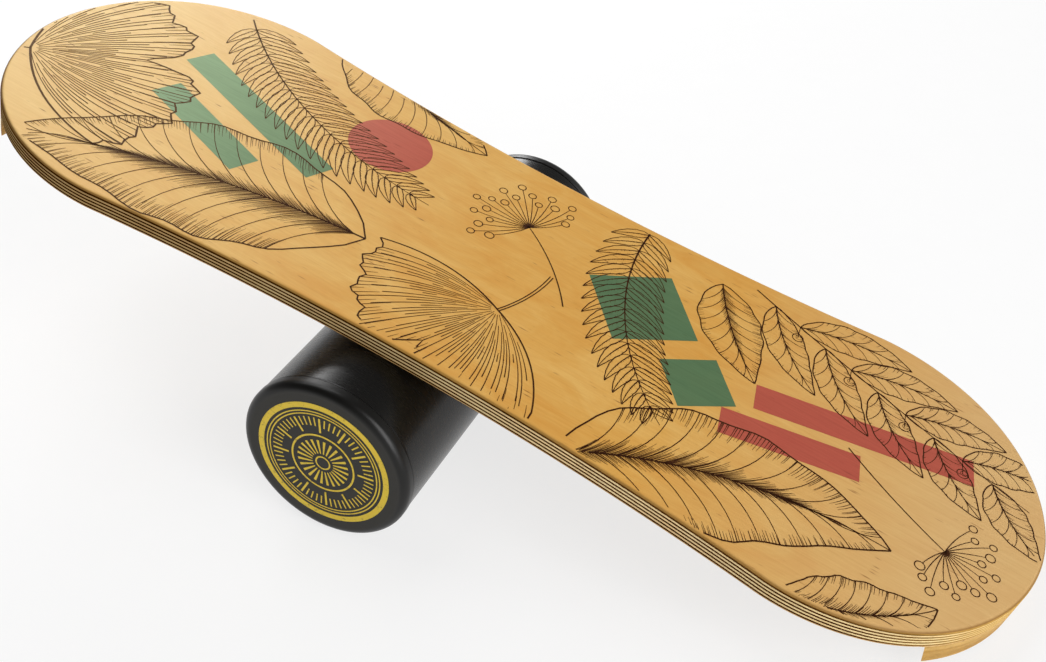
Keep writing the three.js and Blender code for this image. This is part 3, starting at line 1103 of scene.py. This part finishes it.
def spoke(share_of_turn, inner, outer):
    angle = 2 * math.pi * share_of_turn
    return [(radius * math.cos(angle), radius * math.sin(angle)) for radius in (inner, outer)]


for radius, width in DIAL_RINGS:
    ring(dial, 0, 0, radius, width, anywhere, sides=120)
for tick in range(TICKS):
    inner, width = (26.5, 1.5) if tick % 5 == 0 else (31.5, 1.0)
    dial.stroke(spoke(tick / TICKS, inner, 38.5), width, keep=anywhere)
for ray in range(RAYS):
    dial.stroke(spoke((ray + 0.5) / RAYS, 8, 19.5), 0.8, 2.0, keep=anywhere)
ring(dial, 0, 0, HUB_RADIUS, 1.1, anywhere, sides=60)
print("dial of", len(dial.runs), "strokes")


# %% Print the dial
def cap_ink():
    recipe = Recipe("yellow cap ink")
    worn = recipe.noise(recipe.real_coordinates(), scale=(420, 420, 420), detail=5, roughness=0.7)
    recipe.shade(
        Base_Color=recipe.ramp(worn, (0.28, paint(132, 112, 30)), (0.44, paint(222, 190, 38))),
        Roughness=0.42, Normal=recipe.bump(worn, 0.1, 0.05 * MM),
    )
    return recipe.material


near_end = Matrix.Translation(ROLLER_AXIS + Vector((0, -ROLLER_HALF, 0)))
near_face = near_end @ Matrix.Rotation(math.pi / 2, 4, "X")
dial_mesh = dial.to_mesh("print_near_cap_dial", 0.1 * MM)
printed("print_near_cap_dial", dial_mesh, cap_ink(), near_face, "end_caps")

# %% [markdown]
# ## Camera
#
# The photograph looks down on the deck from its near right, slightly rolled. A camera could
# be pointed with a Track To constraint, but that leaves no roll. Here its three axes are
# worked out and written into its matrix. Direction, distance and focal length come from
# fitting the deck's edges and the roller to the picture.

# %% Camera at the photo's angle
AZIMUTH = math.radians(23.4773)
ELEVATION = math.radians(36.9999)
ROLL = math.radians(1.9686)
DISTANCE = 0.970147
TARGET = Vector((0.019319, 0, 0.081053))
SENSOR_WIDTH = 36
FOCAL_LENGTH = 45.566
back = Vector((
    math.sin(AZIMUTH) * math.cos(ELEVATION),
    -math.cos(AZIMUTH) * math.cos(ELEVATION),
    math.sin(ELEVATION),
))
level_right = (-back).cross(Vector((0, 0, 1))).normalized()
level_up = level_right.cross(-back)
right = math.cos(ROLL) * level_right + math.sin(ROLL) * level_up
up = math.cos(ROLL) * level_up - math.sin(ROLL) * level_right
camera_data = bpy.data.cameras.new("camera")
camera_data.sensor_fit = "HORIZONTAL"
camera_data.sensor_width = SENSOR_WIDTH
camera_data.lens = FOCAL_LENGTH
camera = bpy.data.objects.new("camera", camera_data)
camera_axes = Matrix((right, up, back)).transposed().to_4x4()
camera.matrix_world = Matrix.Translation(TARGET + back * DISTANCE) @ camera_axes
bpy.context.scene.collection.objects.link(camera)
bpy.context.scene.camera = camera
print("camera at", tuple(round(c, 3) for c in camera.location))

# %% [markdown]
# ## Floor
#
# A plain pale floor keeps the object's soft shadow. More lamps would make it whiter, but they
# would bleach the wood as well, so most of its white is an emission that only the camera and
# reflections see. From beneath it is clear, so that the underside can be looked at.

# %% Floor
FLOOR_HALF = 6
FLOOR_WHITE = 0.75
floor_bm = bmesh.new()
bmesh.ops.create_grid(floor_bm, x_segments=1, y_segments=1, size=FLOOR_HALF)
floor = as_object("floor", floor_bm)
pale = Recipe("pale floor")
floor_grain = pale.noise(pale.real_coordinates(), scale=(30, 30, 30))
pale.shade(
    Base_Color=pale.ramp(floor_grain, (0.3, 0.84), (0.7, 0.86)),
    Roughness=0.9, Specular_IOR_Level=0.1,
)
path = pale.add("LightPath")
seen = pale.calculate("MAXIMUM", path.outputs["Is Camera Ray"], path.outputs["Is Glossy Ray"])
share = pale.add("MapRange", Value=seen, To_Max=FLOOR_WHITE).outputs["Result"]
glow = pale.add("Emission", Color=(1, 1, 1, 1), Strength=1.0).outputs["Emission"]
lifted = pale.mix_shaders(share, pale.shader.outputs["BSDF"], glow)
beneath = pale.add("NewGeometry").outputs["Backfacing"]
clear = pale.add("BsdfTransparent").outputs["BSDF"]
one_sided = pale.mix_shaders(beneath, lifted, clear)
pale.links.new(one_sided, pale.nodes["Material Output"].inputs["Surface"])
floor.data.materials.append(pale.material)
print("floor of", 2 * FLOOR_HALF, "metres")

# %% [markdown]
# ## Backdrop
#
# To the camera the backdrop is plain white. To reflections and fill light it is a studio
# room: white round the horizon, dimmer overhead and at the front left. A room could be built
# of planes, but two ramps on the direction of a ray do the same without any shadows.

# %% Backdrop
HORIZON_TOP = 0.22
CEILING_START = 0.52
CEILING_LIGHT = 0.24
BRIGHT_SIDE = (0.85, 0.52, 0)
bpy.context.scene.view_settings.view_transform = "Standard"
world = bpy.data.worlds.new("studio")
bpy.context.scene.world = world
world.use_nodes = True
sky = NodeBuilder(world.node_tree)
sky.nodes.clear()
direction = sky.add("TexCoord").outputs["Generated"]
height = sky.add("SeparateXYZ", Vector=direction).outputs["Z"]
by_height = sky.ramp(height, (HORIZON_TOP, 1.0), (CEILING_START, CEILING_LIGHT))
by_side = sky.add(
    "MapRange", Value=sky.dot(direction, BRIGHT_SIDE), From_Min=-0.8, From_Max=0.8, To_Min=0.2,
).outputs["Result"]
shaded = sky.blend(1.0, by_height, by_side, "MULTIPLY")
room = sky.add("Background", Color=shaded, Strength=1.0).outputs["Background"]
white = sky.add("Background", Color=(1, 1, 1, 1), Strength=1.0).outputs["Background"]
to_camera = sky.add("LightPath").outputs["Is Camera Ray"]
either = sky.mix_shaders(to_camera, room, white)
sky.links.new(either, sky.add("OutputWorld").inputs["Surface"])
print("backdrop:", world.name)

# %% [markdown]
# ## Lamps
#
# Softboxes are area lamps: large ones give soft shadows and broad, quiet reflections, where
# point lamps or a sun would give hard ones. A key softbox and a low one stand at the right,
# so that the near edge grows brighter to the right. One hangs overhead, and one at the back
# left draws the highlight along the roller, right behind the near cap.


# %% Lamps
def soft_lamp(name, place, aim, width, height, watts):
    data = bpy.data.lights.new(name, "AREA")
    data.shape = "RECTANGLE"
    data.size = width
    data.size_y = height
    data.energy = watts
    lamp = bpy.data.objects.new(name, data)
    lamp.location = place
    lamp.rotation_euler = (Vector(aim) - Vector(place)).to_track_quat("-Z", "Y").to_euler()
    bpy.context.scene.collection.objects.link(lamp)
    print(name, "of", watts, "watts")


soft_lamp("key softbox", (2.9, -1.2, 1.9), (0.1, 0, 0.1), 2.0, 2.0, 75)
soft_lamp("low softbox, right", (1.75, -1.25, 0.45), (0.35, -0.1, 0.1), 0.9, 0.6, 10)
soft_lamp("overhead softbox", (-1.3, 0.5, 2.5), (-0.1, 0, 0.1), 1.8, 1.8, 34)
soft_lamp("back left softbox", (-1.43, 1.78, 1.19), (-0.2, 0, 0.15), 1.1, 1.1, 34)
